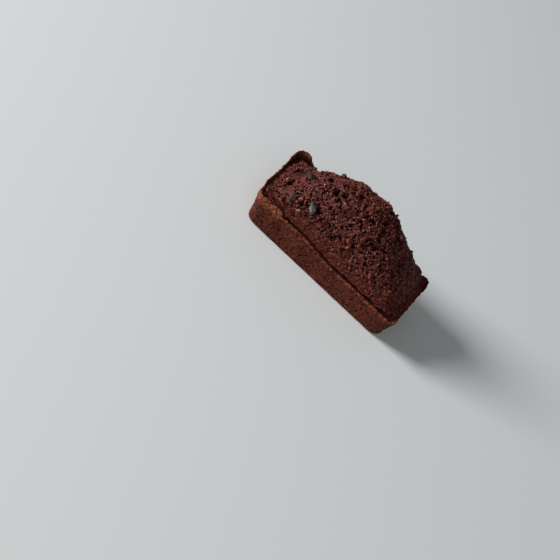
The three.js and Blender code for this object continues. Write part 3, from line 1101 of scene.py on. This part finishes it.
class CAKE_OT_crust(CakePiece, bpy.types.Operator):
    """Makes the grainy crust of the dome"""

    bl_idname = "cake.crust"
    bl_label = "Crust"

    def execute(self, context):
        sizes = context.scene.cake_sizes
        loaf = Loaf(sizes)
        points, faces, index = loaf.crust()
        normals = point_normals(points, faces)
        moved, painted_shade, tone, bold = self.relief(loaf, points, sizes.grain_depth / MM)
        points = points + normals * moved[:, None]
        root = index[0, ::-1].tolist()
        piece = new_mesh("cake_crust", points + SHIFT_TO_FRAME, faces.tolist() + [root])
        piece.data.shade_flat()
        write_values(piece, "painted_shade", painted_shade)
        write_values(piece, "tone", tone)
        write_values(piece, "bold", bold)
        self.thin_out(piece, sizes.crust_triangles)
        self.settle(piece, "chocolate_crumb", crust_finish(context.scene.cake_colours))
        return {"FINISHED"}

    def relief(self, loaf, points, depth):
        """How far each point moves out, in millimetres, how much shade is painted on it, its lump's draw
        and boldness.
        """
        x = points[:, 0]
        above = points[:, 2] - loaf.rim_height(x, points[:, 1])
        pit = pitted(points, CRUST_PITS)
        wide = pitted(points, WIDE_PITS)
        lump, gap, draw = self.lumps(points)
        rolling = cloud(points, *ROLLING)
        uneven = cloud(points, *UNEVEN)
        wide = np.maximum(wide, smooth_step(cloud(points, *HOLLOWS), *HOLLOW_BAND))
        _, v = loaf.dome_shares(x, points[:, 1])
        high = smooth_step(1 - v**ACROSS_BEND, *BOLD_BAND)
        bold = high * (1 - BOLD_LESS * smooth_step(x, *BOLD_LESS_SETS_IN))
        holes = self.holes(loaf, points, rolling)
        crack = self.crack(loaf, points, above)
        rough = depth * (SLOPE_RELIEF + BOLD_RELIEF * bold) * smooth_step(above, *RELIEF_SETS_IN)
        grainy = LUMP_SHARE * lump * blend(LEAST_LUMP, 1.0, draw)
        grainy = grainy + ROLLING_SHARE * rolling + UNEVEN_SHARE * uneven
        moved = rough * (grainy - PIT_SINK * pit - bold * wide)
        moved = moved * (1 - CRACK_SMOOTH * crack) - CRACK_DEPTH * crack - holes
        # Painted shade in the pits and gaps, the wide pits, the crack and the holes.
        pits = np.maximum(PIT_SHADE * pit, GAP_SHADE * gap) * blend(SLOPE_SHADE, 1.0, bold)
        painted_shade = np.maximum.reduce((pits, wide * bold, CRACK_SHADE * crack, np.minimum(holes, 1.0)))
        return moved, np.clip(painted_shade, 0, 1), draw, bold

    @staticmethod
    def lumps(points):
        """Packed lumps: how far up its lump each point is, how far in a gap, and the lump's draw."""
        first, second, draw = cells(points, LUMP_SIZE, LUMP_WARP, LUMP_SEED)
        edge = second - first
        up = np.clip(edge / LUMP_RUN, 0.0, 1.0)
        return 1 - (1 - up) ** 2, 1 - smooth_step(edge, *LUMP_GAP), draw

    @staticmethod
    def holes(loaf, points, rolling):
        """How deep each point lies in one of the deep holes, in millimetres."""
        depths = np.zeros(len(points))
        for x, y, radius, depth in HOLES:
            z = loaf.crust_height(np.array((x,)), np.array((y,)))[0]
            away = np.linalg.norm(points - (x, y, z), axis=1) / radius
            inside = 1 - smooth_step(away * (1 + HOLE_UNEVEN * rolling), *HOLE_EDGE)
            depths = np.maximum(depths, depth * inside)
        return depths

    @staticmethod
    def crack(loaf, points, above):
        """1 in the crack between the crust and the lip along the front, which gapes unevenly."""
        x = points[:, 0]
        front, _ = loaf.loose_shares(x, points[:, 1])
        gape = GAPE + RIGHT_GAPE * smooth_step(x, *RIGHT_GAPE_SETS_IN)
        gape = gape + GAPE_UNEVEN * cloud(points * (1.0, 0.0, 0.0), *GAPE_WAVES)
        gape = np.clip(gape, *GAPE_RANGE)
        above_lip = above - LEDGE_HEIGHT * loaf.ledge_reach(x)
        shut = smooth_step(above_lip, SHUTS_FROM + SHUTS_FROM_GAPE * gape, SHUTS_TO + gape)
        return front * smooth_step(above, *CRACK_SETS_IN) * (1 - shut)


class CAKE_OT_grains(CakePiece, bpy.types.Operator):
    """Makes the coarse grains that stand out of the crust"""

    bl_idname = "cake.grains"
    bl_label = "Grains"

    def execute(self, context):
        sizes = context.scene.cake_sizes
        crust = bpy.data.objects["cake_crust"]
        draw = np.random.default_rng(GRAIN_SEED)
        places, normals = self.surface(crust.data)
        chance = self.chances(Loaf(sizes), places, read_values(crust, "painted_shade"))
        tries = min(GRAIN_TRIES * sizes.grain_count, np.count_nonzero(chance))
        chosen = draw.choice(len(places), tries, replace=False, p=chance / chance.sum())
        chosen = self.spaced(places, chosen)[: sizes.grain_count]
        points, faces = self.shaped(places[chosen], normals[chosen], draw)
        piece = new_mesh("crust_grains", points, faces)
        piece.data.shade_flat()
        tone = draw.random(len(chosen)) ** GRAIN_TONE_BEND
        write_values(piece, "tone", np.repeat(tone, len(points) // len(chosen)))
        self.settle(piece, "chocolate_crumb", grain_finish(context.scene.cake_colours))
        return {"FINISHED"}

    @staticmethod
    def surface(mesh):
        """The points of a mesh in millimetres, and the way each of them faces."""
        places = np.empty(len(mesh.vertices) * 3)
        mesh.vertices.foreach_get("co", places)
        normals = np.empty(len(mesh.vertices) * 3, np.float32)
        mesh.vertex_normals.foreach_get("vector", normals)
        return places.reshape(-1, 3) / MM, normals.reshape(-1, 3).astype(float)

    @staticmethod
    def chances(loaf, places, painted_shade):
        """How likely a grain is at each place: in clumps, out of the pits, and more so high on the dome."""
        above = places[:, 2] - loaf.rim_height(places[:, 0], places[:, 1])
        clumps = smooth_step(cloud(places, *GRAIN_CLUMPS), *CLUMP_BAND)
        chance = blend(SLOPE_CHANCE, 1.0, smooth_step(above, *FULL_CHANCE_BAND))
        chance = chance * smooth_step(above, *GRAINS_SET_IN)
        return chance * (blend(BARE_CHANCE, 1.0, clumps) * (1 - painted_shade) ** 2)

    @staticmethod
    def spaced(places, chosen):
        """Those of the chosen places, in their order, that are clear of every earlier one."""
        kept = []
        taken = {}
        near = [(i, j, k) for i in (-1, 0, 1) for j in (-1, 0, 1) for k in (-1, 0, 1)]
        for index in chosen.tolist():
            place = tuple(places[index].tolist())
            i, j, k = (int(along // GRAIN_APART) for along in place)
            boxes = [(i + a, j + b, k + c) for a, b, c in near]
            others = [taken[box] for box in boxes if box in taken]
            if all(math.dist(place, other) >= GRAIN_APART for other in others):
                taken[i, j, k] = place
                kept.append(index)
        return kept

    @staticmethod
    def shaped(places, normals, draw):
        """Uneven lumps at the places, lying along the crust and partly sunk in it."""
        ball = bmesh.new()
        bmesh.ops.create_icosphere(ball, subdivisions=1, radius=1.0)
        corners = np.array([vertex.co for vertex in ball.verts])
        sides = np.array([[vertex.index for vertex in face.verts] for face in ball.faces])
        ball.free()
        count = len(places)
        half = np.exp(draw.normal(math.log(GRAIN_HALF), GRAIN_SPREAD, count))
        half = np.clip(half, *GRAIN_HALF_RANGE)
        stretch = np.stack([draw.uniform(*span, count) for span in GRAIN_STRETCH], axis=1)
        jitter = draw.uniform(*GRAIN_JITTER, (count, len(corners), 1))
        local = corners[None] * jitter * (half[:, None] * stretch)[:, None, :]
        side = np.cross(normals, draw.normal(size=(count, 3)))
        side /= np.linalg.norm(side, axis=1)[:, None]
        axes = np.stack((side, np.cross(normals, side), normals), axis=1)
        middles = places - normals * (GRAIN_SUNK * half)[:, None]
        points = np.einsum("nck,nkj->ncj", local, axes) + middles[:, None, :]
        faces = sides[None] + (np.arange(count) * len(corners))[:, None, None]
        return points.reshape(-1, 3), faces.reshape(-1, 3).tolist()


class CAKE_OT_bits(CakePiece, bpy.types.Operator):
    """Makes the bits of cocoa bean that are pressed into the crust"""

    bl_idname = "cake.bits"
    bl_label = "Cocoa Bits"

    def execute(self, context):
        loaf = Loaf(context.scene.cake_sizes)
        points = []
        faces = []
        tints = []
        for i, bit in enumerate(SHOWN_BITS + self.spread_bits(loaf)):
            x, y, turn, length, width, height, tint = bit
            draw = np.random.default_rng(BIT_SEED + i)
            corners, sides = self.broken_bit(draw)
            corners = corners * (length / 2, width / 2, height / 2)
            corners = self.laid(loaf, corners, x, y, turn, height)
            first = sum(map(len, points))
            faces += [[first + corner for corner in side] for side in sides]
            points.append(corners)
            shade = np.array(tint) * draw.uniform(*BIT_SHADES)
            tints.append(np.tile(rgba(shade), (len(corners), 1)))
        piece = new_mesh("cocoa_bits", np.concatenate(points) + SHIFT_TO_FRAME, faces)
        piece.data.shade_flat()
        stored = piece.data.attributes.new("tint", "FLOAT_COLOR", "POINT")
        stored.data.foreach_set("color", np.concatenate(tints).astype(np.float32).ravel())
        self.settle(piece, "cocoa_bean", bean_finish())
        return {"FINISHED"}

    @staticmethod
    def spread_bits(loaf):
        """The smaller bits: an even spread of places, without those too near a bit that shows."""
        bits = ()
        for i in range(1, SPREAD_TRIES + 1):
            x = (2 * (i * SPREAD_RATIO_ALONG % 1) - 1) * SPREAD_ALONG * loaf.half_length
            y = (2 * (i * SPREAD_RATIO_ACROSS % 1) - 1) * SPREAD_ACROSS * loaf.half_width
            length = blend(SPREAD_SMALLEST, SPREAD_LARGEST, i * SPREAD_RATIO_LENGTH % 1)
            turn = 360 * (i * SPREAD_RATIO_TURN % 1)
            if all(math.hypot(bit[0] - x, bit[1] - y) >= SPREAD_APART for bit in SHOWN_BITS):
                bits += ((x, y, turn, length, length * SPREAD_WIDTH, length * SPREAD_HEIGHT, COATED),)
        return bits

    @staticmethod
    def broken_bit(draw):
        """Corners and faces of one broken bit with worn edges, about 2 long, wide and high."""
        rough = bmesh.new()
        count = draw.integers(BIT_CORNERS_FROM, BIT_CORNERS_BELOW)
        angles = (np.arange(count) + draw.uniform(-BIT_TURN, BIT_TURN, count)) * 2 * math.pi / count
        for z, least, most, width in BIT_LAYERS:
            reach = draw.uniform(least, most, count)
            for x, y in zip(reach * np.cos(angles), width * reach * np.sin(angles)):
                rough.verts.new((x, y, z + BIT_UNEVEN * draw.uniform(-1.0, 1.0)))
        hull = bmesh.ops.convex_hull(rough, input=rough.verts)
        unused = [item for item in hull["geom_interior"] if isinstance(item, bmesh.types.BMVert)]
        bmesh.ops.delete(rough, geom=unused, context="VERTS")
        bmesh.ops.bevel(
            rough,
            geom=rough.edges,
            offset=WORN_EDGE,
            segments=WORN_STEPS,
            profile=WORN_PROFILE,
            affect="EDGES",
            clamp_overlap=True,
        )
        bmesh.ops.remove_doubles(rough, verts=rough.verts, dist=WELD_DISTANCE)
        bmesh.ops.triangulate(rough, faces=rough.faces)
        rough.verts.index_update()
        corners = np.array([vertex.co for vertex in rough.verts])
        sides = [[vertex.index for vertex in face.verts] for face in rough.faces]
        rough.free()
        return corners, sides

    @staticmethod
    def laid(loaf, corners, x, y, turn, height):
        """Turns a bit to lie along the crust at a place, and sinks it in."""
        xs = np.array((x, x + LIE_STEP, x - LIE_STEP, x, x))
        ys = np.array((y, y, y, y + LIE_STEP, y - LIE_STEP))
        middle, right, left, rear, front = loaf.crust_height(xs, ys)
        normal = Vector((left - right, front - rear, 2 * LIE_STEP)).normalized()
        lie = Vector((0.0, 0.0, 1.0)).rotation_difference(normal)
        spin = Quaternion((0.0, 0.0, 1.0), math.radians(turn))
        rotation = np.array((lie @ spin).to_matrix())
        place = np.array((x, y, middle)) + np.array(normal) * height * (0.5 - BIT_SUNK)
        return corners @ rotation.T + place


class CAKE_OT_stage(bpy.types.Operator):
    """Makes the floor, the lights and the camera"""

    bl_idname = "cake.stage"
    bl_label = "Stage"
    bl_options = {"REGISTER", "UNDO"}

    def execute(self, context):
        stage = context.scene.cake_stage
        self.make_floor(context.scene)
        self.make_light(context.scene, "key", KEY_WAY, KEY_SIZE, stage.key_power)
        self.make_light(context.scene, "fill", FILL_WAY, FILL_SIZE, stage.fill_power)
        world = bpy.data.worlds.new("studio")
        world.use_nodes = True
        background = world.node_tree.nodes["Background"]
        background.inputs["Color"].default_value = rgba(SKY_COLOUR)
        background.inputs["Strength"].default_value = stage.sky
        context.scene.world = world
        context.scene.view_settings.view_transform = "Standard"
        self.make_camera(context.scene, stage)
        return {"FINISHED"}

    @staticmethod
    def make_floor(scene):
        """A wide, pale, level sheet under the cake."""
        mesh = bpy.data.meshes.new("floor")
        signs = ((-1, -1), (1, -1), (1, 1), (-1, 1))
        mesh.from_pydata([(x * FLOOR_HALF, y * FLOOR_HALF, 0) for x, y in signs], [], [(0, 1, 2, 3)])
        floor = bpy.data.objects.new("floor", mesh)
        scene.collection.objects.link(floor)
        colour = rgba(scene.cake_colours.floor)
        mesh.materials.append(Finish("pale_floor").surface(Base_Color=colour, Roughness=FLOOR_ROUGHNESS))

    @staticmethod
    def make_light(scene, name, way, size, power):
        """A round soft light that faces the cake from one way."""
        lamp = bpy.data.lights.new(name, "AREA")
        lamp.shape = "DISK"
        lamp.size = size
        lamp.energy = power
        holder = bpy.data.objects.new(name, lamp)
        direction = Vector(way).normalized()
        holder.location = direction * LIGHT_DISTANCE
        holder.rotation_mode = "QUATERNION"
        holder.rotation_quaternion = direction.to_track_quat("Z", "Y")
        scene.collection.objects.link(holder)

    @staticmethod
    def make_camera(scene, stage):
        """The camera, at its angles and distance from the middle, turned to its aim and rolled."""
        lens = bpy.data.cameras.new("camera")
        lens.lens = stage.lens
        lens.sensor_width = SENSOR_WIDTH
        lens.clip_start = CLIP_START
        lens.shift_x = CAMERA_SHIFT_X
        lens.shift_y = CAMERA_SHIFT_Y
        camera = bpy.data.objects.new("camera", lens)
        across = math.cos(stage.elevation) * stage.distance
        rise = math.sin(stage.elevation) * stage.distance
        back = Vector((math.sin(stage.azimuth) * across, -math.cos(stage.azimuth) * across, rise))
        shift = Vector(SHIFT_TO_FRAME * MM)
        camera.location = Vector(CAMERA_MIDDLE) + shift + back
        camera.rotation_mode = "QUATERNION"
        level = (Vector(CAMERA_AIM) + shift - camera.location).to_track_quat("-Z", "Y")
        camera.rotation_quaternion = level @ Quaternion((0.0, 0.0, 1.0), stage.roll)
        scene.collection.objects.link(camera)
        scene.camera = camera


class CAKE_PT_panel(bpy.types.Panel):
    """The cake's settings, and a button for each group of its pieces"""

    bl_idname = "CAKE_PT_panel"
    bl_label = "Financier Cake"
    bl_space_type = "VIEW_3D"
    bl_region_type = "UI"
    bl_category = "Cake"

    def draw(self, context):
        scene = context.scene
        for settings in (scene.cake_sizes, scene.cake_colours, scene.cake_stage):
            box = self.layout.box()
            for name in settings.__annotations__:
                box.prop(settings, name)
        for operator in OPERATORS:
            self.layout.operator(operator.bl_idname)


SETTINGS = (CakeSizes, CakeColours, StageSettings)
OPERATORS = (CAKE_OT_wall, CAKE_OT_crust, CAKE_OT_grains, CAKE_OT_bits, CAKE_OT_stage)
CLASSES = SETTINGS + OPERATORS + (CAKE_PT_panel,)


def register():
    """Registers the classes, and hangs the settings on the scene."""
    for kind in CLASSES:
        bpy.utils.register_class(kind)
    bpy.types.Scene.cake_sizes = PointerProperty(type=CakeSizes)
    bpy.types.Scene.cake_colours = PointerProperty(type=CakeColours)
    bpy.types.Scene.cake_stage = PointerProperty(type=StageSettings)


def unregister():
    """Takes the settings and the classes away again."""
    del bpy.types.Scene.cake_sizes
    del bpy.types.Scene.cake_colours
    del bpy.types.Scene.cake_stage
    for kind in reversed(CLASSES):
        bpy.utils.unregister_class(kind)


def main():
    """Makes the pieces and the stage."""
    register()
    bpy.ops.cake.wall()
    bpy.ops.cake.crust()
    bpy.ops.cake.grains()
    bpy.ops.cake.bits()
    bpy.ops.cake.stage()


if __name__ == "__main__":
    main()
